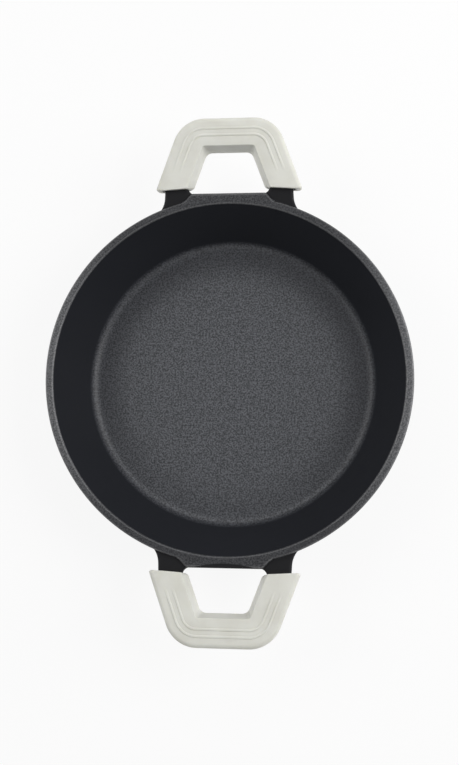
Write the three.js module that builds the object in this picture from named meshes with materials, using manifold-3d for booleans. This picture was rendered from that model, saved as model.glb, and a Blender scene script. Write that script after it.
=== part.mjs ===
// A round cast-iron skillet with two loop handles, each in a slip-on silicone grip sleeve.
// Millimetres, +Z up. The pan stands on its base at the origin, with its handles along +Y and -Y.
import * as THREE from "three";
import { mergeVertices } from "three/addons/utils/BufferGeometryUtils.js";
import Module from "manifold-3d";

const wasm = await Module();
wasm.setup();

// Bowl of the pan
const RIM_RADIUS = 140;
const WALL_WIDTH = 6.5; // measured level, so it is also the width of the rim
const PAN_HEIGHT = 53;
const FLOOR_THICKNESS = 5;
const FLOOR_RADIUS = 111.6; // where the line of the inner wall meets the floor
const FLOOR_FILLET = 8.5;
const BASE_ROUND = 14;
const RIM_EDGE = 1.8;

// Ledge that widens the rim between the legs of a loop
const LEDGE_REACH = 1.7; // past the rim
const LEDGE_HALF_WIDTH = 30.2; // where the lines of its slanted ends meet the rim
const LEDGE_LEAN = THREE.MathUtils.degToRad(42);
const LEDGE_DEPTH = 10;
const LEDGE_EDGE = 2.5;
const LEDGE_CORNER = 3;
const LEDGE_FLARE = 6;

// Iron loop, drawn in its own plane: across it in x, outwards from the rim in y, through it in z
const LOOP_RISE = THREE.MathUtils.degToRad(8);
const LOOP_DROP = 5.8; // of the loop's middle plane under the rim's top, where it leaves the rim
const LOOP_THICKNESS = 7;
const LOOP_REACH = 53.5;
const LOOP_HALF_WIDTH = 52.3; // where the lines of its legs' outer edges meet the rim
const LOOP_CORNER = 19;
const LOOP_EDGE = 2;
const LEG_LEAN = THREE.MathUtils.degToRad(20.8);
const LEG_WIDTH = 16.2;
const NECK_REACH = 8; // from the rim, inside the sleeve's mouth, the legs lean less
const NECK_LEAN = THREE.MathUtils.degToRad(3);
const NECK_FLARE = 13;
const CROSSBAR_WIDTH = 14.8;
const WINDOW_CORNER = 6;
const WINDOW_ROOT_CORNER = 6;
const WINDOW_SETBACK = 0.5; // of the window's inner end behind the ledge's front

// Silicone sleeve, a flat pocket that is open towards the pan and along the finger gap
const SLEEVE_FIT = 0.35; // clearance to the loop all round
const SLEEVE_SKIN = 3; // over and under the loop
const SLEEVE_SIDE = 5.2; // round the loop's outside
const SLEEVE_EDGE = 3.5;
const UPPER_LIP = 1; // past the loop's inner edge
const LOWER_LIP = 4.4;
const UPPER_GAP_CORNER = 2.5; // of the finger gap at the crossbar
const LOWER_GAP_CORNER = 6;
const MOUTH_OUTER = 4.2; // distances of the mouth's ends from the rim
const MOUTH_INNER = 6;

// Two raised ribs that follow the sleeve's outline on its top
const RIB_INSETS = [8.1, 13.2]; // of the ribs' middle lines from the sleeve's outside
const RIB_WIDTH = 2;
const RIB_HEIGHT = 0.6;
const RIB_START = 24; // distance of the ribs' ends from the rim

// Fineness of the facets
const CHORD_ERROR = 0.1; // largest distance of a facet from the true arc
const EDGE_STEPS = 3;
const CUT_MARGIN = 30; // how far a joined or cutting piece runs past the face that it meets
const MERGE_DISTANCE = 1e-4;
const FULLEST_ROUND = 0.45; // largest rounding of a plate's edges, as a share of its thickness

const WALL_SLOPE = (RIM_RADIUS - WALL_WIDTH - FLOOR_RADIUS) / (PAN_HEIGHT - FLOOR_THICKNESS);
const POCKET_HALF_HEIGHT = LOOP_THICKNESS / 2 + SLEEVE_FIT;
const SLEEVE_HALF_HEIGHT = POCKET_HALF_HEIGHT + SLEEVE_SKIN;

const iron = new THREE.MeshStandardMaterial({ color: 0x2b2b2d, roughness: 0.7, metalness: 0.3 });
const silicone = new THREE.MeshStandardMaterial({ color: 0xd6d6cd, roughness: 0.6, metalness: 0 });

const at = (x, y) => new THREE.Vector2(x, y);

// The number of facets for a turn at a radius.
function facetCount(radius, turn) {
  const facetAngle = 2 * Math.acos(Math.max(0, 1 - CHORD_ERROR / radius));
  return Math.ceil(Math.abs(turn) / facetAngle);
}

// Points of the arc that leaves a start and turns about a centre.
function arc(centre, start, turn) {
  const steps = Math.max(2, facetCount(start.distanceTo(centre), turn));
  return Array.from({ length: steps + 1 }, (_, i) => start.clone().rotateAround(centre, (turn * i) / steps));
}

// Points of a corner between two neighbours, rounded to a radius.
function roundedCorner(before, corner, after, radius) {
  const toBefore = before.clone().sub(corner).normalize();
  const toAfter = after.clone().sub(corner).normalize();
  const halfAngle = toBefore.angleTo(toAfter) / 2;
  const centre = toBefore.clone().add(toAfter).setLength(radius / Math.sin(halfAngle)).add(corner);
  const start = toBefore.clone().multiplyScalar(radius / Math.tan(halfAngle)).add(corner);
  const turn = (Math.PI - 2 * halfAngle) * Math.sign(toAfter.cross(toBefore));
  return arc(centre, start, turn);
}

// Points of a closed outline through corners, each rounded to its own radius, or sharp where it has none.
function roundedOutline(corners) {
  return corners.flatMap(({ point, radius }, i) => {
    if (!radius) return [point];
    const before = corners.at(i - 1).point;
    const after = corners[(i + 1) % corners.length].point;
    return roundedCorner(before, point, after, radius);
  });
}

// The right half of an outline, then its mirror image back to the start.
function mirroredOutline(rightHalf) {
  const leftHalf = rightHalf.map((point) => at(-point.x, point.y)).reverse();
  return [...rightHalf, ...leftHalf];
}

const mirroredCorner = ({ point, radius }) => ({ point: at(-point.x, point.y), radius });

// Points of a closed outline through the corners of its right half and their mirror images.
function mirroredCorners(rightHalf) {
  return roundedOutline([...rightHalf, ...rightHalf.map(mirroredCorner).reverse()]);
}

// Points of a concave arc from the round rim to a straight side, which leans in from a half width at the rim.
// The rim's centre lies one rim radius behind the origin.
function flareFromRim(halfWidth, lean, radius) {
  const sideNormal = at(Math.cos(lean), Math.sin(lean));
  const sideDirection = at(-Math.sin(lean), Math.cos(lean));
  const rimCentre = at(0, -RIM_RADIUS);
  const across = halfWidth * sideNormal.x + radius - rimCentre.dot(sideNormal);
  const along = Math.sqrt((RIM_RADIUS + radius) ** 2 - across ** 2);
  const fromRimCentre = sideNormal.clone().multiplyScalar(across).addScaledVector(sideDirection, along);
  const centre = rimCentre.clone().add(fromRimCentre);
  const start = fromRimCentre.clone().setLength(RIM_RADIUS).add(rimCentre);
  return arc(centre, start, -fromRimCentre.angleTo(sideNormal));
}

// A plate of a shape, centred on its plane, with its edges rounded inside the outline.
function plate(shape, thickness, edge) {
  const round = Math.min(edge, thickness * FULLEST_ROUND);
  const geometry = new THREE.ExtrudeGeometry(shape, {
    depth: thickness - 2 * round,
    steps: 1,
    bevelEnabled: round > 0,
    bevelThickness: round,
    bevelSize: round,
    bevelOffset: -round,
    bevelSegments: EDGE_STEPS,
  });
  return geometry.translate(0, 0, round - thickness / 2);
}

// A solid of revolution about Z from the points of its half section, with equal facets in each quarter.
function turned(profile) {
  const quarterSteps = facetCount(RIM_RADIUS, Math.PI / 2);
  return new THREE.LatheGeometry(profile, 4 * quarterSteps).rotateX(Math.PI / 2);
}

function solidOf(geometry) {
  const bare = new THREE.BufferGeometry();
  const loose = geometry.index ? geometry.toNonIndexed() : geometry;
  bare.setAttribute("position", loose.getAttribute("position"));
  const merged = mergeVertices(bare, MERGE_DISTANCE);
  const vertProperties = merged.getAttribute("position").array;
  const triVerts = new Uint32Array(merged.index.array);
  return new wasm.Manifold(new wasm.Mesh({ numProp: 3, vertProperties, triVerts }));
}

function meshOf(name, solid, material) {
  const { vertProperties, triVerts } = solid.getMesh();
  const geometry = new THREE.BufferGeometry();
  geometry.setAttribute("position", new THREE.BufferAttribute(vertProperties, 3));
  geometry.setIndex(new THREE.BufferAttribute(triVerts, 1));
  geometry.computeVertexNormals();
  const mesh = new THREE.Mesh(geometry, material.clone());
  mesh.name = name;
  return mesh;
}

// Half of the loop's width at a distance from the rim, offset outwards from the loop's outer edge.
function loopHalfWidth(distance, offset) {
  return LOOP_HALF_WIDTH - distance * Math.tan(LEG_LEAN) + offset / Math.cos(LEG_LEAN);
}

// The right outer corner of the loop's outline, offset outwards from its outer edge.
function loopCorner(offset) {
  const distance = LOOP_REACH + offset;
  return { point: at(loopHalfWidth(distance, offset), distance), radius: LOOP_CORNER + offset };
}

// The right corner of the window at the crossbar, or of the finger gap with a lip past the loop's inner edge.
function gapCorner(lip, radius) {
  const distance = LOOP_REACH - CROSSBAR_WIDTH - lip;
  return { point: at(loopHalfWidth(distance, -LEG_WIDTH - lip), distance), radius };
}

// The bowl's outside is parallel to its inside, so the wall is as wide as the rim all the way down.
function bowlSolid() {
  const axis = { point: at(0, 0) };
  const base = { point: at(RIM_RADIUS - PAN_HEIGHT * WALL_SLOPE, 0), radius: BASE_ROUND };
  const rimOutside = { point: at(RIM_RADIUS, PAN_HEIGHT), radius: RIM_EDGE };
  const rimInside = { point: at(RIM_RADIUS - WALL_WIDTH, PAN_HEIGHT), radius: RIM_EDGE };
  const floorEdge = { point: at(FLOOR_RADIUS, FLOOR_THICKNESS), radius: FLOOR_FILLET };
  const floorMiddle = { point: at(0, FLOOR_THICKNESS) };
  return solidOf(turned(roundedOutline([axis, base, rimOutside, rimInside, floorEdge, floorMiddle])));
}

// A cone out to the middle of the wall, where the loops and ledges end.
function wallCoreSolid() {
  const bottom = -CUT_MARGIN;
  const top = PAN_HEIGHT + CUT_MARGIN;
  const middleOfWall = (z) => at(RIM_RADIUS - WALL_WIDTH / 2 + (z - PAN_HEIGHT) * WALL_SLOPE, z);
  return solidOf(turned([at(0, bottom), middleOfWall(bottom), middleOfWall(top), at(0, top)]));
}

// The loop's legs run in behind the rim, and its window ends under the ledge.
function loopSolid() {
  const neck = at(loopHalfWidth(NECK_REACH, 0), NECK_REACH);
  const flare = flareFromRim(neck.x + NECK_REACH * Math.tan(NECK_LEAN), NECK_LEAN, NECK_FLARE);
  const end = loopCorner(0);
  const roundEnd = roundedCorner(neck, end.point, mirroredCorner(end).point, end.radius);
  const behindRim = at(flare[0].x, -CUT_MARGIN);
  const shape = new THREE.Shape(mirroredOutline([behindRim, ...flare, neck, ...roundEnd]));
  const rootDistance = LEDGE_REACH - WINDOW_SETBACK;
  const rootCorner = at(loopHalfWidth(rootDistance, -LEG_WIDTH), rootDistance);
  const rightHalf = [{ point: rootCorner, radius: WINDOW_ROOT_CORNER }, gapCorner(0, WINDOW_CORNER)];
  shape.holes.push(new THREE.Path(mirroredCorners(rightHalf)));
  return solidOf(plate(shape, LOOP_THICKNESS, LOOP_EDGE));
}

// The ledge is level with the rim. Its ends slant back and flare into the rim.
function ledgeSolid() {
  const flare = flareFromRim(LEDGE_HALF_WIDTH, LEDGE_LEAN, LEDGE_FLARE);
  const corner = at(LEDGE_HALF_WIDTH - LEDGE_REACH * Math.tan(LEDGE_LEAN), LEDGE_REACH);
  const roundFront = roundedCorner(flare.at(-1), corner, at(0, LEDGE_REACH), LEDGE_CORNER);
  const shape = new THREE.Shape(mirroredOutline([at(flare[0].x, -CUT_MARGIN), ...flare, ...roundFront]));
  const ledge = plate(shape, LEDGE_DEPTH, LEDGE_EDGE);
  return solidOf(ledge.translate(0, RIM_RADIUS, PAN_HEIGHT - LEDGE_DEPTH / 2));
}

// The sleeve's plate, a U round the finger gap, with a lip that covers the loop's inner edge.
function sleevePlate(lip, corner) {
  const outside = SLEEVE_FIT + SLEEVE_SIDE;
  const legInside = { point: at(loopHalfWidth(-CUT_MARGIN, -LEG_WIDTH - lip), -CUT_MARGIN) };
  const legOutside = { point: at(loopHalfWidth(-CUT_MARGIN, outside), -CUT_MARGIN) };
  const rightHalf = [gapCorner(lip, corner), legInside, legOutside, loopCorner(outside)];
  const shape = new THREE.Shape(mirroredCorners(rightHalf));
  return solidOf(plate(shape, 2 * SLEEVE_HALF_HEIGHT, SLEEVE_EDGE));
}

// Everything on the pan's side of the mouth, whose two cuts slant towards the rim at their outer ends.
function mouthCutSolid() {
  const outerX = loopHalfWidth(MOUTH_OUTER, SLEEVE_FIT + SLEEVE_SIDE);
  const innerX = loopHalfWidth(MOUTH_INNER, -LEG_WIDTH - LOWER_LIP);
  const slant = (MOUTH_INNER - MOUTH_OUTER) / (outerX - innerX);
  const sideX = outerX + CUT_MARGIN;
  const inner = at(innerX, MOUTH_INNER);
  const side = at(sideX, MOUTH_OUTER - slant * CUT_MARGIN);
  const shape = new THREE.Shape(mirroredOutline([at(sideX, -2 * CUT_MARGIN), side, inner]));
  return solidOf(plate(shape, 4 * SLEEVE_HALF_HEIGHT, 0));
}

// The space that the loop slides into. It takes in the finger gap, so the sleeve is open along it.
function pocketSolid() {
  const root = { point: at(loopHalfWidth(-CUT_MARGIN, SLEEVE_FIT), -CUT_MARGIN) };
  const shape = new THREE.Shape(mirroredCorners([root, loopCorner(SLEEVE_FIT)]));
  return solidOf(plate(shape, 2 * POCKET_HALF_HEIGHT, 0));
}

// Everything in the sleeve's plane that lies below its pocket.
function belowPocketSolid() {
  const span = 4 * (LOOP_HALF_WIDTH + LOOP_REACH);
  const block = new THREE.BoxGeometry(span, span, CUT_MARGIN);
  return solidOf(block.translate(0, 0, -POCKET_HALF_HEIGHT - CUT_MARGIN / 2));
}

// A rib along the sleeve's crossbar and part of the way down both legs.
function ribSolid(inset) {
  const middle = SLEEVE_FIT + SLEEVE_SIDE - inset;
  const outer = middle + RIB_WIDTH / 2;
  const inner = middle - RIB_WIDTH / 2;
  const innerEnd = { point: at(loopHalfWidth(RIB_START, inner), RIB_START) };
  const outerEnd = { point: at(loopHalfWidth(RIB_START, outer), RIB_START) };
  const shape = new THREE.Shape(mirroredCorners([loopCorner(inner), innerEnd, outerEnd, loopCorner(outer)]));
  const rooted = RIB_HEIGHT + SLEEVE_SKIN / 2;
  return solidOf(plate(shape, rooted, 0).translate(0, 0, SLEEVE_HALF_HEIGHT + RIB_HEIGHT - rooted / 2));
}

// The lower lip reaches further into the finger gap than the upper one.
function sleeveSolid() {
  const lowerLip = sleevePlate(LOWER_LIP, LOWER_GAP_CORNER).intersect(belowPocketSolid());
  const upperLip = sleevePlate(UPPER_LIP, UPPER_GAP_CORNER);
  const pocketed = upperLip.add(lowerLip).subtract(pocketSolid()).subtract(mouthCutSolid());
  return RIB_INSETS.reduce((sleeve, inset) => sleeve.add(ribSolid(inset)), pocketed);
}

// A group in the plane of one loop, inside a group that is turned to that side of the pan.
function loopFrame(sideAngle) {
  const side = new THREE.Group();
  const frame = new THREE.Group();
  side.rotation.z = sideAngle;
  frame.position.set(0, RIM_RADIUS, PAN_HEIGHT - LOOP_DROP);
  frame.rotation.x = LOOP_RISE;
  side.add(frame);
  side.updateMatrixWorld(true);
  return { side, frame };
}

const sides = { north: loopFrame(0), south: loopFrame(Math.PI) };

function panSolid() {
  const core = wallCoreSolid();
  const handles = Object.values(sides).map(({ side, frame }) => {
    const loop = loopSolid().transform(frame.matrixWorld.elements);
    return loop.add(ledgeSolid().transform(side.matrixWorld.elements)).subtract(core);
  });
  return handles.reduce((pan, handle) => pan.add(handle), bowlSolid());
}

const skillet = new THREE.Group();
skillet.add(meshOf("pan_casting", panSolid(), iron));
for (const [name, { side, frame }] of Object.entries(sides)) {
  frame.add(meshOf(`${name}_grip_sleeve`, sleeveSolid(), silicone));
  skillet.add(side);
}

export default skillet;
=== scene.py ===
# A round cast-iron skillet with two loop handles, each in a slip-on silicone grip sleeve.
# Metres, +Z up. The pan stands on its base at the origin, with its handles along +Y and -Y.
from math import cos, hypot, pi, radians, sin, sqrt, tan

import bmesh
import bpy
from mathutils import Matrix, Vector


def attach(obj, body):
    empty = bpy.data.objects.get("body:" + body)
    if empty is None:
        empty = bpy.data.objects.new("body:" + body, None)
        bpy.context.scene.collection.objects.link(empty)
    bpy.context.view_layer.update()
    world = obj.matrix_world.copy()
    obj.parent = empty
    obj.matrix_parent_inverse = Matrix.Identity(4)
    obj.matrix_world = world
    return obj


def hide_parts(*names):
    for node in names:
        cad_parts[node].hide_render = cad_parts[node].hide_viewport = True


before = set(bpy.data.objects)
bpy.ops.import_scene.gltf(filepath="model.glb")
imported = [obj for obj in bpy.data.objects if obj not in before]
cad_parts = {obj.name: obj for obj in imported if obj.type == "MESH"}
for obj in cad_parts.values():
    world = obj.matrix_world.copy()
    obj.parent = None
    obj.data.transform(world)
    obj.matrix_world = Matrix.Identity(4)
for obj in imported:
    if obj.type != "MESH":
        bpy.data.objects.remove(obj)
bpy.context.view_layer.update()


# Bowl of the pan
# The bowl is poured in one piece with its ledges and loops: a flat base, a flared wall of even width and
# a flat rim. Its edges are rounded so that the pattern leaves the sand cleanly.
RIM_RADIUS = 0.140
WALL_WIDTH = 0.0065  # measured level
PAN_HEIGHT = 0.053
FLOOR_THICKNESS = 0.005
FLOOR_RADIUS = 0.1116  # where the line of the inner wall meets the floor
FLOOR_FILLET = 0.0085
BASE_ROUND = 0.014
RIM_EDGE = 0.0018
ARC_STEPS = 12
TURN_STEPS = 288
LONGEST_EDGE = 0.006
WELD = 1e-6
CREASE = radians(38)  # faces that meet at a sharper angle are shaded apart
WALL_SLOPE = (RIM_RADIUS - WALL_WIDTH - FLOOR_RADIUS) / (PAN_HEIGHT - FLOOR_THICKNESS)


def wall_radius(z):
    """Radius of the wall's outside at a height."""
    return RIM_RADIUS - (PAN_HEIGHT - z) * WALL_SLOPE


def corner_arc(before, corner, after, radius, steps):
    """Points of a corner between two neighbours, rounded to a radius."""
    to_before = (before - corner).normalized()
    to_after = (after - corner).normalized()
    half = to_before.angle(to_after) / 2
    centre = corner + (to_before + to_after).normalized() * (radius / sin(half))
    start = corner + to_before * (radius / tan(half)) - centre
    end = corner + to_after * (radius / tan(half)) - centre
    turn = -start.angle_signed(end)
    return [centre + Matrix.Rotation(turn * i / steps, 2) @ start for i in range(steps + 1)]


def even_steps(points, steps):
    """The same line through evenly spaced points."""
    lengths = [0.0]
    for a, b in zip(points, points[1:]):
        lengths.append(lengths[-1] + (b - a).length)
    spaced = []
    k = 0
    for i in range(steps + 1):
        along = lengths[-1] * i / steps
        while k < len(points) - 2 and lengths[k + 1] < along:
            k += 1
        share = (along - lengths[k]) / (lengths[k + 1] - lengths[k])
        spaced.append(points[k].lerp(points[k + 1], share))
    return spaced


def finish_mesh(bm, name):
    """Closes seams, points the faces out and shades them smooth, apart from creases, as a new object."""
    bmesh.ops.remove_doubles(bm, verts=bm.verts, dist=WELD)
    bmesh.ops.recalc_face_normals(bm, faces=bm.faces)
    for face in bm.faces:
        face.smooth = True
    for edge in bm.edges:
        edge.smooth = edge.calc_face_angle(0) < CREASE
    mesh = bpy.data.meshes.new(name)
    bm.to_mesh(mesh)
    bm.free()
    piece = bpy.data.objects.new(name, mesh)
    bpy.context.scene.collection.objects.link(piece)
    return piece


axis_point = Vector((0, 0))
base_corner = Vector((wall_radius(0), 0))
rim_outside = Vector((RIM_RADIUS, PAN_HEIGHT))
rim_inside = Vector((RIM_RADIUS - WALL_WIDTH, PAN_HEIGHT))
floor_corner = Vector((FLOOR_RADIUS, FLOOR_THICKNESS))
floor_middle = Vector((0, FLOOR_THICKNESS))
section = [
    axis_point,
    *corner_arc(axis_point, base_corner, rim_outside, BASE_ROUND, ARC_STEPS),
    *corner_arc(base_corner, rim_outside, rim_inside, RIM_EDGE, ARC_STEPS),
    *corner_arc(rim_outside, rim_inside, floor_corner, RIM_EDGE, ARC_STEPS),
    *corner_arc(rim_inside, floor_corner, floor_middle, FLOOR_FILLET, ARC_STEPS),
    floor_middle,
]
bm = bmesh.new()
section_points = [bm.verts.new((radius, 0, z)) for radius, z in section]
for pair in zip(section_points, section_points[1:]):
    bm.edges.new(pair)
for edge in list(bm.edges):
    cuts = int(edge.calc_length() / LONGEST_EDGE)
    if cuts:
        bmesh.ops.subdivide_edges(bm, edges=[edge], cuts=cuts)
bmesh.ops.spin(
    bm, geom=bm.verts[:] + bm.edges[:], cent=(0, 0, 0), axis=(0, 0, 1), angle=2 * pi,
    steps=TURN_STEPS, use_merge=True,
)
pan = finish_mesh(bm, "skillet_pan")


# Loops and ledges of the pan
# Each loop is a flat trapezoid bar that grows out of the wall and rises a little. Between its legs a ledge
# widens the rim. Fillets run from both into the wall, as on any iron casting.
LOOP_RISE = radians(8)
LOOP_DROP = 0.0058  # of the loop's middle plane under the rim's top, where it leaves the rim
LOOP_THICKNESS = 0.007
LOOP_REACH = 0.0535
LOOP_HALF_WIDTH = 0.0523  # where the lines of its legs' outer edges meet the rim
LOOP_CORNER = 0.019
LOOP_EDGE = 0.002
LEG_LEAN = radians(20.8)
LEG_WIDTH = 0.0162
NECK_REACH = 0.008  # from the rim, inside the sleeve's mouth, the legs lean less
NECK_LEAN = radians(3)
NECK_FLARE = 0.018
CROSSBAR_WIDTH = 0.0148
WINDOW_CORNER = 0.006
WINDOW_ROOT_CORNER = 0.006
LEDGE_REACH = 0.0017
LEDGE_HALF_WIDTH = 0.0302  # where the lines of its slanted ends meet the rim
LEDGE_LEAN = radians(42)
LEDGE_DEPTH = 0.010
LEDGE_EDGE = 0.0025
LEDGE_CORNER = 0.003
LEDGE_FLARE = 0.006
LEDGE_SINK = 0.00003  # of its top under the rim's, so that the two never lie in one plane
UPPER_FILLET = 0.0016
LOWER_FILLET = 0.005
EDGE_STEPS = 4
FLAT_STEPS = 8
LOOP_STEPS = (5, 14, 12)  # along half of the crossbar, round the corner and down the leg
ROOT_STEPS = 18
BURIED_STEPS = 10  # from the wall's outside to its middle
LEDGE_STEPS = 12


def loop_half_width(distance, offset):
    """Half of the loop's width at a distance from the rim, offset outwards from its outer edge."""
    return LOOP_HALF_WIDTH - distance * tan(LEG_LEAN) + offset / cos(LEG_LEAN)


def loop_line(leg_inset, crossbar_inset, radius, end, steps):
    """A line inside the loop's outer edge, from the crossbar's middle round the corner to the leg's end."""
    distance = LOOP_REACH - crossbar_inset
    middle = Vector((0, distance))
    corner = Vector((loop_half_width(distance, -leg_inset), distance))
    arc = corner_arc(middle, corner, end, radius, steps[1])
    return even_steps([middle, arc[0]], steps[0]) + arc[1:] + even_steps([arc[-1], end], steps[2])[1:]


def rim_flare(half_width, lean, radius, rim_radius, steps):
    """Points of a concave arc from a straight side, which leans in, to the round wall."""
    normal = Vector((cos(lean), sin(lean)))
    along = Vector((-sin(lean), cos(lean)))
    rim_centre = Vector((0, -RIM_RADIUS))
    across = half_width * normal.x + radius - rim_centre.dot(normal)
    reach = sqrt((rim_radius + radius) ** 2 - across ** 2)
    from_centre = normal * across + along * reach
    centre = rim_centre + from_centre
    start = -normal * radius
    turn = normal.angle(from_centre)
    return [centre + Matrix.Rotation(turn * i / steps, 2) @ start for i in range(steps + 1)]


def bar_ring(inner, outer, low, high, edge):
    """Ring of points round a flat bar between its two edges, with its four long edges rounded."""
    width = (outer - inner).length
    across = (outer - inner) / width
    corners = [
        (width - edge, low + edge, -pi / 2),
        (width - edge, high - edge, 0),
        (edge, high - edge, pi / 2),
        (edge, low + edge, pi),
    ]
    ring = []
    for k, (along, z, angle) in enumerate(corners):
        for i in range(EDGE_STEPS + 1):
            turn = angle + pi / 2 * i / EDGE_STEPS
            ring.append((along + edge * cos(turn), z + edge * sin(turn)))
        if k % 2:
            step = (2 * edge - width) / FLAT_STEPS * (1 if k == 1 else -1)
            ring += [(along + step * i, ring[-1][1]) for i in range(1, FLAT_STEPS)]
    return [(*(inner + across * along), z) for along, z in ring]


def loft_half(rings):
    """Joins closed rings of points, each with as many points as the next, closes the last and mirrors all."""
    bm = bmesh.new()
    loops = []
    for ring in rings:
        corners = [bm.verts.new(point) for point in ring]
        loops.append([bm.edges.new(pair) for pair in zip(corners, corners[1:] + corners[:1])])
    for pair in zip(loops, loops[1:]):
        bmesh.ops.bridge_loops(bm, edges=pair[0] + pair[1])
    bmesh.ops.contextual_create(bm, geom=loops[-1])
    bmesh.ops.mirror(bm, geom=bm.verts[:] + bm.edges[:] + bm.faces[:], axis="X", merge_dist=WELD)
    return bm


def fillet_rise(distance, radius):
    """How far a fillet stands off the bar at a distance from the wall."""
    if distance >= radius:
        return 0
    return radius - sqrt(radius ** 2 - (radius - max(distance, 0)) ** 2)


sides = {"north": Matrix.Rotation(0, 4, "Z"), "south": Matrix.Rotation(pi, 4, "Z")}
loop_root = Matrix.Translation((0, RIM_RADIUS, PAN_HEIGHT - LOOP_DROP))
loop_plane = loop_root @ Matrix.Rotation(LOOP_RISE, 4, "X")
outside_of_wall = wall_radius(PAN_HEIGHT - LOOP_DROP)


def to_middle_of_wall(point):
    """The point of the wall's middle line that lies straight in from a point of the loop's plane."""
    from_centre = point + Vector((0, RIM_RADIUS))
    return from_centre.normalized() * (outside_of_wall - WALL_WIDTH / 2) - Vector((0, RIM_RADIUS))


def loop_piece():
    """One loop in its own plane, whose roots run into the middle of the wall."""
    neck = Vector((loop_half_width(NECK_REACH, 0), NECK_REACH))
    outer = loop_line(0, 0, LOOP_CORNER, neck, LOOP_STEPS)
    neck_half_width = neck.x + NECK_REACH * tan(NECK_LEAN)
    flare = rim_flare(neck_half_width, NECK_LEAN, NECK_FLARE, outside_of_wall, ROOT_STEPS)
    outer += even_steps([neck, *flare], ROOT_STEPS)[1:]
    outer += even_steps([outer[-1], to_middle_of_wall(outer[-1])], BURIED_STEPS)[1:]

    window_crossbar = LOOP_REACH - CROSSBAR_WIDTH
    top_corner = Vector((loop_half_width(window_crossbar, -LEG_WIDTH), window_crossbar))
    root_corner = Vector((loop_half_width(LEDGE_REACH, -LEG_WIDTH), LEDGE_REACH))
    ledge_middle = Vector((0, LEDGE_REACH))
    root_arc = corner_arc(top_corner, root_corner, ledge_middle, WINDOW_ROOT_CORNER, ROOT_STEPS)
    inner = loop_line(LEG_WIDTH, CROSSBAR_WIDTH, WINDOW_CORNER, root_arc[0], LOOP_STEPS)
    inner += root_arc[1:]
    inner += even_steps([inner[-1], to_middle_of_wall(inner[-1])], BURIED_STEPS)[1:]

    half = LOOP_THICKNESS / 2
    bm = loft_half([bar_ring(a, b, -half, half, LOOP_EDGE) for a, b in zip(inner, outer)])
    for vert in bm.verts:
        place = loop_plane @ vert.co
        distance = hypot(place.x, place.y) - wall_radius(place.z)
        share = min(1, abs(vert.co.z) / (half - LOOP_EDGE))
        if vert.co.z > 0:
            vert.co.z += share * fillet_rise(distance, UPPER_FILLET)
        else:
            vert.co.z -= share * fillet_rise(distance, LOWER_FILLET)
    return bm


def ledge_piece():
    """One ledge, from its front to the middle of the wall."""
    flare = rim_flare(LEDGE_HALF_WIDTH, LEDGE_LEAN, LEDGE_FLARE, RIM_RADIUS, LEDGE_STEPS)
    corner = Vector((LEDGE_HALF_WIDTH - LEDGE_REACH * tan(LEDGE_LEAN), LEDGE_REACH))
    middle = Vector((0, LEDGE_REACH))
    arc = corner_arc(middle, corner, flare[0], LEDGE_CORNER, LEDGE_STEPS)
    front = even_steps([middle, arc[0]], LEDGE_STEPS) + arc[1:] + flare[1:]
    low = PAN_HEIGHT - LEDGE_DEPTH
    high = PAN_HEIGHT - LEDGE_SINK
    rings = []
    for point in front:
        ring = bar_ring(to_middle_of_wall(point), point, low, high, LEDGE_EDGE)
        rings.append([(x, y + RIM_RADIUS, z) for x, y, z in ring])
    return loft_half(rings)


for turn in sides.values():
    for shape, place in ((loop_piece(), turn @ loop_plane), (ledge_piece(), turn)):
        bmesh.ops.transform(shape, matrix=place, verts=shape.verts)
        cast_on = finish_mesh(shape, "cast_on")
        union = pan.modifiers.new("cast on", "BOOLEAN")
        union.operation = "UNION"
        union.solver = "EXACT"
        union.object = cast_on
        bpy.context.view_layer.update()
        joined = pan.evaluated_get(bpy.context.evaluated_depsgraph_get())
        joined_mesh = bpy.data.meshes.new_from_object(joined)
        pan.modifiers.clear()
        pan.data = joined_mesh
        bpy.data.objects.remove(cast_on)
bm = bmesh.new()
bm.from_mesh(pan.data)
bpy.data.objects.remove(pan)
pan = finish_mesh(bm, "skillet_pan")


# Coating of the pan
# A black coating is baked on over the sand-cast iron. The floor keeps a pebbled grain, the wall is smoother,
# and the rim is greyer, where grinding has gone through to the sandy skin, with its edges rubbed smooth.
NOISE_ROUGHNESS = 0.55


def add_node(tree, kind, settings=None, **inputs):
    """Adds a shader node, sets it up and links or sets its inputs, which are named with _ for a blank."""
    node = tree.nodes.new("ShaderNode" + kind)
    for name, value in (settings or {}).items():
        setattr(node, name, value)
    for name, value in inputs.items():
        number = name[1:]
        socket = node.inputs[int(number)] if number.isdigit() else node.inputs[name.replace("_", " ")]
        if isinstance(value, bpy.types.NodeSocket):
            tree.links.new(value, socket)
        else:
            socket.default_value = value
    return node


def maths(tree, operation, *values):
    """The result of a sum on values or sockets."""
    node = add_node(tree, "Math", {"operation": operation}, **{f"_{i}": v for i, v in enumerate(values)})
    return node.outputs[0]


def ramp(tree, value, low, high, start=0.0, end=1.0):
    """A smooth step from start to end as the value goes from low to high."""
    node = add_node(
        tree, "MapRange", {"interpolation_type": "SMOOTHSTEP"}, Value=value, From_Min=low, From_Max=high,
        To_Min=start, To_Max=end,
    )
    return node.outputs[0]


def blend_colours(tree, share, first, second, way="MIX"):
    """The first colour, with a share of the second blended in."""
    settings = {"data_type": "RGBA", "blend_type": way}
    node = add_node(tree, "Mix", settings, Factor=share, _6=first, _7=second)
    return node.outputs[2]


def noise(tree, place, scale, detail, roughness=NOISE_ROUGHNESS):
    """Noise with a number of blobs to the metre."""
    node = add_node(
        tree, "TexNoise", None, Vector=place, Scale=scale, Detail=detail, Roughness=roughness,
    )
    return node.outputs[0]


def new_material(name):
    """An empty node material and its tree."""
    material = bpy.data.materials.new(name)
    material.use_nodes = True
    material.node_tree.nodes.remove(material.node_tree.nodes["Principled BSDF"])
    return material, material.node_tree


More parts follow.
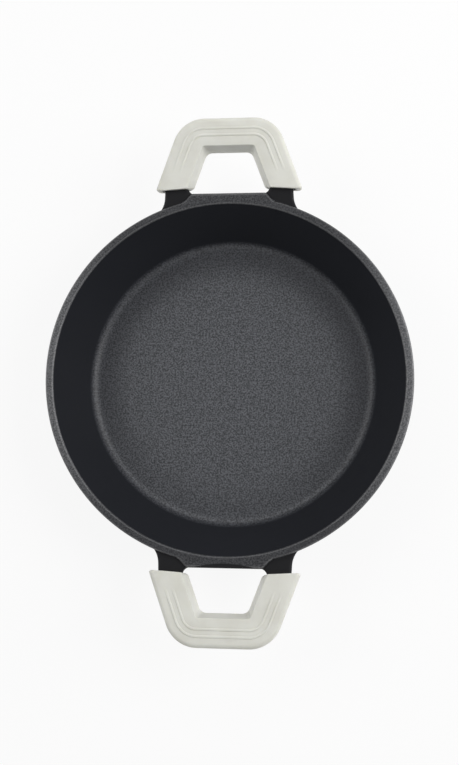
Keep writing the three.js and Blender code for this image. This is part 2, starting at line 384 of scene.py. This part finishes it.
def show_shader(tree, shader):
    """Links a shader to the material's output."""
    tree.links.new(shader.outputs[0], tree.nodes["Material Output"].inputs["Surface"])


def make_blotchy_finish():
    """A node group for a finish that is duller in soft blotches, as heat and handling leave it."""
    group = bpy.data.node_groups.new("blotchy_finish", "ShaderNodeTree")
    group.interface.new_socket("Place", in_out="INPUT", socket_type="NodeSocketVector")
    for name in ("Scale", "Detail", "Faint", "Full", "Shiniest", "Dullest"):
        group.interface.new_socket(name, in_out="INPUT", socket_type="NodeSocketFloat")
    for name in ("Blotches", "Roughness"):
        group.interface.new_socket(name, in_out="OUTPUT", socket_type="NodeSocketFloat")
    given = group.nodes.new("NodeGroupInput").outputs
    result = group.nodes.new("NodeGroupOutput").inputs
    blotches = noise(group, given["Place"], given["Scale"], given["Detail"])
    dullness = ramp(group, blotches, given["Faint"], given["Full"], given["Shiniest"], given["Dullest"])
    group.links.new(blotches, result["Blotches"])
    group.links.new(dullness, result["Roughness"])
    return group


COAT_BLACK = (0.0065, 0.0065, 0.0075, 1)
WALL_BLACK = (0.0135, 0.0145, 0.018, 1)
FLOOR_DARK = (0.016, 0.0175, 0.0205, 1)
FLOOR_LIGHT = (0.108, 0.112, 0.123, 1)
# Painted light: the rim's colours come in a darker copy towards the handles and a lighter copy at the sides,
# where the side lamps fall.
RIM_ENDS_DARK = (0.014, 0.0145, 0.0165, 1)  # towards the handles, the darker copy of the rim's colours
RIM_ENDS_LIGHT = (0.066, 0.067, 0.072, 1)
RIM_SIDES_DARK = (0.060, 0.061, 0.065, 1)
RIM_SIDES_LIGHT = (0.189, 0.191, 0.199, 1)
RIM_LIT_SPAN = (0.072, 0.155)  # distances across the pan between which the rim is painted lighter, as painted light from the side lamps
RIM_REACH = 0.0055  # of the ground skin past the rim's radius, over the ledges
RIM_SKIN = (PAN_HEIGHT - 0.0017, PAN_HEIGHT - 0.0010)  # heights between which the ground skin starts
RIM_EDGES = (PAN_HEIGHT - 0.00014, PAN_HEIGHT - 0.00006)  # heights between which the flat rim turns down
SOUTH_SHADE_WIDTH = 0.0021  # inside the rim's radius, of the south ledge's front edge, left black as painted shade
SOUTH_SHADE_BOW = 5.9  # how strongly that painted shade narrows to both sides
SOUTH_SHADE_BLUR = (-0.0003, 0.0005)
FLOOR_END = (FLOOR_THICKNESS + 0.0025, FLOOR_THICKNESS + 0.007)  # heights between which the wall starts
# Painted shade: the floor is darkened towards the wall and in its corner, less so by the south wall.
WALL_SHADE_TINT = (0.55, 0.555, 0.58, 1)
WALL_SHADE_RADII = (0.080, 0.102)  # between which the floor is darkened towards the wall, as painted shade
WALL_SHADE_CLIMB = (FLOOR_THICKNESS + 0.0004, FLOOR_THICKNESS + 0.0020)  # heights between which its corner is darkened too, as painted shade
SOUTH_WALL_SHADE = 0.3  # share of that painted shade by the south wall
SAND = (1 / 0.0012, 4, 0.7)  # scale, detail and roughness of the noise
SAND_CONTRAST = (0.38, 0.66)  # noise from dark to light
SAND_RELIEF = (0.25, 1.0)  # share of the bump elsewhere and on the rim
PEBBLES = (1 / 0.0013, 3, 0.6)
PEBBLE_CONTRAST = (0.36, 0.64)
PEBBLE_RELIEF = (0.1, 0.8)  # share of the bump elsewhere and on the floor
WALL_SHEEN = 0.06  # shares of the clear coat
FLOOR_SHEEN = 0.46
RIM_SHEEN = 0.15
EDGE_SHEEN = 0.9

blotchy_finish = make_blotchy_finish()
iron, tree = new_material("coated_cast_iron")
place = add_node(tree, "TexCoord").outputs["Object"]
level = add_node(tree, "VectorMath", {"operation": "MULTIPLY"}, _0=place, _1=(1, 1, 0))
from_axis = add_node(tree, "VectorMath", {"operation": "LENGTH"}, _0=level.outputs[0]).outputs["Value"]
across, along, height = add_node(tree, "SeparateXYZ", None, Vector=place).outputs

middle_radius = maths(tree, "MULTIPLY_ADD", height, WALL_SLOPE, wall_radius(0) - WALL_WIDTH / 2)
inside = maths(tree, "LESS_THAN", from_axis, middle_radius)
off_base = maths(tree, "GREATER_THAN", height, FLOOR_THICKNESS / 2)
in_bowl = maths(tree, "MULTIPLY", inside, off_base)
on_floor = maths(tree, "MULTIPLY", in_bowl, ramp(tree, height, *FLOOR_END, 1, 0))

near_rim = maths(tree, "LESS_THAN", from_axis, RIM_RADIUS + RIM_REACH)
on_rim = maths(tree, "MULTIPLY", ramp(tree, height, *RIM_SKIN), near_rim)
# Painted shade: the south ledge's front edge is left black instead of grey.
southward = maths(tree, "MULTIPLY", along, -1)
bow = maths(tree, "MULTIPLY", maths(tree, "MULTIPLY", across, across), SOUTH_SHADE_BOW)
past_south_shade = maths(tree, "SUBTRACT", southward, maths(tree, "ADD", bow, RIM_RADIUS - SOUTH_SHADE_WIDTH))
on_rim = maths(tree, "MULTIPLY", on_rim, ramp(tree, past_south_shade, *SOUTH_SHADE_BLUR, 1, 0))
on_edge = maths(tree, "MULTIPLY", on_rim, ramp(tree, height, *RIM_EDGES, 1, 0))

pebble = noise(tree, place, *PEBBLES)
floor_colour = blend_colours(tree, ramp(tree, pebble, *PEBBLE_CONTRAST), FLOOR_DARK, FLOOR_LIGHT)
# Painted shade, where the wall shades the floor's edge and corner.
painted_wall_shade = ramp(tree, along, -WALL_SHADE_RADII[1], 0, SOUTH_WALL_SHADE, 1)
painted_wall_shade = maths(tree, "MULTIPLY", painted_wall_shade, ramp(tree, from_axis, *WALL_SHADE_RADII))
painted_wall_shade = maths(tree, "MAXIMUM", painted_wall_shade, ramp(tree, height, *WALL_SHADE_CLIMB))
floor_colour = blend_colours(tree, painted_wall_shade, floor_colour, WALL_SHADE_TINT, "MULTIPLY")

sand = noise(tree, place, *SAND)
# Painted light: the rim is lighter at the left and right, where the side lamps fall.
painted_side_light = ramp(tree, maths(tree, "ABSOLUTE", across), *RIM_LIT_SPAN)
rim_dark = blend_colours(tree, painted_side_light, RIM_ENDS_DARK, RIM_SIDES_DARK)
rim_light = blend_colours(tree, painted_side_light, RIM_ENDS_LIGHT, RIM_SIDES_LIGHT)
rim_colour = blend_colours(tree, ramp(tree, sand, *SAND_CONTRAST), rim_dark, rim_light)

colour = blend_colours(tree, in_bowl, COAT_BLACK, WALL_BLACK)
colour = blend_colours(tree, on_floor, colour, floor_colour)
colour = blend_colours(tree, on_rim, colour, rim_colour)
finish = add_node(
    tree, "Group", {"node_tree": blotchy_finish}, Place=place, Scale=1 / 0.035, Detail=3,
    Faint=0.3, Full=0.7, Shiniest=0.5, Dullest=0.6,
)
bowl_coat = ramp(tree, on_floor, 0, 1, WALL_SHEEN, FLOOR_SHEEN)
rim_coat = maths(tree, "MULTIPLY", on_rim, ramp(tree, on_edge, 0, 1, RIM_SHEEN, EDGE_SHEEN))
sand_relief = maths(tree, "MULTIPLY", sand, ramp(tree, on_rim, 0, 1, *SAND_RELIEF))
pebble_relief = maths(tree, "MULTIPLY", pebble, ramp(tree, on_floor, 0, 1, *PEBBLE_RELIEF))
relief = maths(tree, "ADD", sand_relief, pebble_relief)
bump = add_node(tree, "Bump", None, Strength=0.5, Distance=0.0004, Height=relief)
show_shader(tree, add_node(
    tree, "BsdfPrincipled", None, Base_Color=colour, Roughness=finish.outputs["Roughness"],
    Normal=bump.outputs[0], Specular_IOR_Level=0.1, Coat_Weight=maths(tree, "ADD", bowl_coat, rim_coat),
    Coat_Roughness=0.4, Coat_Normal=bump.outputs[0],
))

pan.data.materials.clear()
pan.data.materials.append(iron)
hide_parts("pan_casting")
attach(pan, "pan")


# Grip sleeves
# Each sleeve is moulded in off-white silicone as a flat pocket, which is pulled over the loop. Its two lips
# close in front of the loop's inner edge, and two ribs on its top follow its outline.
SLEEVE_FIT = 0.00035  # clearance to the loop
SLEEVE_SKIN = 0.003  # over and under the loop
SLEEVE_SIDE = 0.0052  # round the loop's outside
SLEEVE_EDGE = 0.0035
SLEEVE_CROWN = 0.0001  # of its top over the upper lip's edge
SLEEVE_STEPS = (6, 18, 36)  # along half of the crossbar, round the corner and down the leg
SIDE_STEPS = 7
UPPER_LIP = 0.001  # past the loop's inner edge
LOWER_LIP = 0.0044
LIP_MIDDLE = 0.0029  # where the two lips meet in the loop's middle plane
LIP_BACK = 0.0006  # of the lips' hidden faces from the loop's inner edge
LIP_GAP = 0.00015  # of each lip's end from the loop's middle plane
LIP_EDGE = 0.0007
LIP_STEPS = 5
LOWER_EDGE = 0.0028
LOWER_FLAT = 0.004  # from the loop's inner edge, of a point on the flat underside
LOWER_STEPS = 6
UPPER_GAP_CORNER = 0.0025
LOWER_GAP_CORNER = 0.006
MOUTH_OUTER = 0.0042  # distances of the mouth's ends from the rim
MOUTH_INNER = 0.006
MOUTH_CORNER = 0.0026
MOUTH_EDGE = 0.0005
MOUTH_EASE = 6  # power that keeps the easing close to the mouth's end
MOUTH_STEPS = 8
RIB_INSETS = (0.0081, 0.0132)  # of the ribs' middle lines from the sleeve's outside
RIB_WIDTH = 0.002
RIB_HEIGHT = 0.0006
RIB_ROUND = 1.2  # power of the sine that shapes a rib
RIB_START = 0.024  # distance from the rim at which a rib has half its height
RIB_FADE = 0.014
RIB_FOOT = 0.0003  # of flat top beside each rib
RIB_STEPS = 8
POCKET_HALF = LOOP_THICKNESS / 2 + SLEEVE_FIT
SLEEVE_HALF = POCKET_HALF + SLEEVE_SKIN
SLEEVE_OUTSIDE = SLEEVE_FIT + SLEEVE_SIDE


def between(share):
    """A share held between 0 and 1."""
    return min(1, max(0, share))


def quarter(edge, offset, z, radius, start, steps):
    """Points of a quarter arc about a centre in the sleeve's section, turning clockwise from an angle."""
    turns = [start - pi / 2 * i / steps for i in range(steps + 1)]
    return [(edge, offset + radius * cos(turn), z + radius * sin(turn)) for turn in turns]


def sleeve_section(rib_share, draw, ease):
    """The sleeve's section, clockwise from its upper lip, as (edge, offset from that edge, height) points.

    The edges are the loop's outer edge and the inner edges that the upper lip, the lower lip and the seam
    between the two lips follow. The sides are drawn in at the mouth's corners, and all of the section is
    eased at its end.
    """
    top = SLEEVE_HALF - ease
    outside = SLEEVE_OUTSIDE - draw - ease
    pocket = POCKET_HALF + ease
    upper = -UPPER_LIP + ease
    lips = -LIP_MIDDLE + draw + ease
    lower = -LOWER_LIP + draw + ease
    lip_end = LIP_GAP + ease
    lip_top = top - SLEEVE_CROWN - LIP_EDGE
    back = -LIP_BACK - ease
    side_edge = SLEEVE_EDGE - ease
    lower_edge = LOWER_EDGE - ease

    section = [("lips", lips, lip_end)]
    section += quarter("upper", upper + LIP_EDGE, lip_top, LIP_EDGE, pi, LIP_STEPS)
    for inset in reversed(RIB_INSETS):
        middle = SLEEVE_OUTSIDE - inset
        section.append(("outer", middle - RIB_WIDTH / 2 - RIB_FOOT, top))
        for i in range(RIB_STEPS + 1):
            turn = pi * i / RIB_STEPS
            rise = RIB_HEIGHT * rib_share * sin(turn) ** RIB_ROUND
            section.append(("outer", middle - RIB_WIDTH / 2 * cos(turn), top + rise))
        section.append(("outer", middle + RIB_WIDTH / 2 + RIB_FOOT, top))
    section += quarter("outer", outside - side_edge, top - side_edge, side_edge, pi / 2, SIDE_STEPS)
    section += quarter("outer", outside - side_edge, side_edge - top, side_edge, 0, SIDE_STEPS)
    section.append(("lower", LOWER_FLAT, -top))
    section += quarter("lower", lower + lower_edge, lower_edge - top, lower_edge, -pi / 2, LOWER_STEPS)
    section += [
        ("lips", lips, -lip_end),
        ("lips", back, -lip_end),
        ("lower", back, -pocket),
        ("outer", SLEEVE_FIT + ease, -pocket),
        ("outer", SLEEVE_FIT + ease, pocket),
        ("upper", back, pocket),
        ("lips", back, lip_end),
    ]
    return section


def sleeve_piece():
    """One sleeve in its loop's plane, from the middle of its crossbar to its rounded mouth."""
    normal = Vector((cos(LEG_LEAN), sin(LEG_LEAN)))
    leg = Vector((-sin(LEG_LEAN), cos(LEG_LEAN)))
    mouth_outer = Vector((loop_half_width(MOUTH_OUTER, SLEEVE_OUTSIDE), MOUTH_OUTER))
    mouth_inner = Vector((loop_half_width(MOUTH_INNER, -LEG_WIDTH - LOWER_LIP), MOUTH_INNER))
    mouth = mouth_outer - mouth_inner
    mouth /= mouth.dot(normal)
    outer_end = mouth_outer - mouth * SLEEVE_OUTSIDE + leg * MOUTH_CORNER
    inner_end = outer_end - mouth * LEG_WIDTH
    lips_corner = (UPPER_GAP_CORNER + LOWER_GAP_CORNER) / 2

    paths = {"outer": loop_line(0, 0, LOOP_CORNER, outer_end, SLEEVE_STEPS)}
    for edge, radius in (
        ("upper", UPPER_GAP_CORNER + UPPER_LIP),
        ("lips", lips_corner + LIP_MIDDLE),
        ("lower", LOWER_GAP_CORNER + LOWER_LIP),
    ):
        paths[edge] = loop_line(LEG_WIDTH, CROSSBAR_WIDTH, radius, inner_end, SLEEVE_STEPS)

    crossbar_steps, corner_steps, leg_steps = SLEEVE_STEPS
    corner_end = crossbar_steps + corner_steps
    rings = []
    for k, outer_point in enumerate(paths["outer"]):
        turn = between((k - crossbar_steps) / corner_steps) * (pi / 2 - LEG_LEAN)
        across = Vector((sin(turn), cos(turn)))
        if k > corner_end:
            across = normal.lerp(mouth, (k - corner_end) / leg_steps)
        rib_share = between((outer_point.y - RIB_START) / RIB_FADE + 0.5)
        section = sleeve_section(rib_share * rib_share * (3 - 2 * rib_share), 0, 0)
        rings.append([(*(paths[edge][k] + across * offset), z) for edge, offset, z in section])
    for i in range(1, MOUTH_STEPS + 1):
        turn = pi / 2 * i / MOUTH_STEPS
        forward = leg * MOUTH_CORNER * sin(turn)
        draw = MOUTH_CORNER * (1 - cos(turn))
        section = sleeve_section(0, draw, MOUTH_EDGE * (i / MOUTH_STEPS) ** MOUTH_EASE)
        rings.append([(*(paths[edge][-1] + mouth * offset - forward), z) for edge, offset, z in section])
    return loft_half(rings)


SILICONE_PALE = (0.735, 0.735, 0.68, 1)
SILICONE_DUSTY = (0.675, 0.67, 0.61, 1)
DUST_CONTRAST = (0.3, 0.75)  # noise from pale to dusty
SILICONE_SKIN = (1 / 0.0006, 3, 0.6)  # scale, detail and roughness of the noise
SILICONE_DEPTH = (0.004, 0.004, 0.0032)  # how far red, green and blue light travel in it

silicone, tree = new_material("off_white_silicone")
place = add_node(tree, "TexCoord").outputs["Object"]
finish = add_node(
    tree, "Group", {"node_tree": blotchy_finish}, Place=place, Scale=1 / 0.018, Detail=4,
    Faint=0.25, Full=0.75, Shiniest=0.46, Dullest=0.58,
)
dust = ramp(tree, finish.outputs["Blotches"], *DUST_CONTRAST)
skin = noise(tree, place, *SILICONE_SKIN)
bump = add_node(tree, "Bump", None, Strength=0.12, Distance=0.0002, Height=skin)
show_shader(tree, add_node(
    tree, "BsdfPrincipled", None, Base_Color=blend_colours(tree, dust, SILICONE_PALE, SILICONE_DUSTY),
    Roughness=finish.outputs["Roughness"], Normal=bump.outputs[0], Specular_IOR_Level=0.4,
    Subsurface_Weight=0.25, Subsurface_Radius=SILICONE_DEPTH, Subsurface_Scale=1,
))

for side, turn in sides.items():
    shape = sleeve_piece()
    bmesh.ops.transform(shape, matrix=turn @ loop_plane, verts=shape.verts)
    sleeve = finish_mesh(shape, f"{side}_sleeve")
    sleeve.data.materials.append(silicone)
    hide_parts(f"{side}_grip_sleeve")
    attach(sleeve, f"{side}_sleeve")


# Floor
# A plain white table, on which the pan stands. Most of its white is a glow of its own, so that it stays pale
# right out to its edges, and its paint keeps the pan's shadow.
FLOOR_SIZE = 40
FLOOR_WHITE = (0.9, 0.9, 0.9, 1)
WHITE = (1, 1, 1, 1)
GLOW_SHARE = 0.85
SEEN_GLOW = 0.03  # more of it for the camera

bm = bmesh.new()
bmesh.ops.create_grid(bm, x_segments=1, y_segments=1, size=FLOOR_SIZE / 2)
floor = finish_mesh(bm, "floor")
table, tree = new_material("white_table")
paint = add_node(tree, "BsdfDiffuse", None, Color=FLOOR_WHITE)
glow = add_node(tree, "Emission", None, Color=WHITE, Strength=1.0)
share = maths(tree, "MULTIPLY", add_node(tree, "LightPath").outputs["Is Camera Ray"], SEEN_GLOW)
share = maths(tree, "ADD", share, GLOW_SHARE)
show_shader(tree, add_node(tree, "MixShader", None, _0=share, _1=paint.outputs[0], _2=glow.outputs[0]))
floor.data.materials.append(table)


# Light
# Large soft boxes stand to the left, to the right and behind, and a weak one in front, in a room with
# pale walls.
ROOM_GLOW = 0.06
LIT_POINT = Vector((0, 0, 0.03))
BOXES = (  # name, place, width and depth, power
    ("left_box", (-1.0, 0.30, 0.75), (0.8, 1.0), 6.8),
    ("right_box", (1.0, 0.20, 0.75), (0.8, 1.0), 12.6),
    ("back_box", (0, 1.0, 0.9), (1.4, 0.7), 4.5),
    ("front_box", (0, -1.1, 0.8), (1.4, 0.7), 3.2),
)

for name, spot, size, power in BOXES:
    lamp = bpy.data.lights.new(name, "AREA")
    lamp.shape = "RECTANGLE"
    lamp.size, lamp.size_y = size
    lamp.energy = power
    box = bpy.data.objects.new(name, lamp)
    box.location = spot
    box.rotation_euler = (Vector(spot) - LIT_POINT).to_track_quat("Z", "Y").to_euler()
    bpy.context.scene.collection.objects.link(box)

world = bpy.data.worlds.new("room")
world.use_nodes = True
bpy.context.scene.world = world
tree = world.node_tree
rays = add_node(tree, "LightPath").outputs
seen = maths(tree, "MAXIMUM", rays["Is Camera Ray"], rays["Is Transmission Ray"])
seen = maths(tree, "MAXIMUM", seen, rays["Is Glossy Ray"])
strength = ramp(tree, seen, 0, 1, ROOM_GLOW, 1)
tree.links.new(strength, tree.nodes["Background"].inputs["Strength"])
tree.nodes["Background"].inputs["Color"].default_value = WHITE


# Camera
# It looks almost straight down, from a little to the right of the pan's middle and a little in front of it.
CAMERA_PLACE = Vector((0.0669, -0.0697, 0.7202))
CAMERA_BACK = Vector((0.0956, -0.0970, 0.9907))
CAMERA_RIGHT = Vector((0.9954, 0.0114, -0.0949))
PHOTO_HEIGHT = 765
FOCAL_LENGTH = 900  # in pixels of the photograph
SENSOR = 36
NEAREST_SEEN = 0.01

camera_data = bpy.data.cameras.new("camera")
camera_data.sensor_width = SENSOR
camera_data.lens = SENSOR * FOCAL_LENGTH / PHOTO_HEIGHT
camera_data.clip_start = NEAREST_SEEN
camera = bpy.data.objects.new("camera", camera_data)
camera_up = CAMERA_BACK.cross(CAMERA_RIGHT)
axes = Matrix((CAMERA_RIGHT, camera_up, CAMERA_BACK)).transposed()
camera.matrix_world = Matrix.Translation(CAMERA_PLACE) @ axes.to_4x4()
bpy.context.scene.collection.objects.link(camera)
bpy.context.scene.camera = camera
bpy.context.scene.view_settings.view_transform = "Standard"
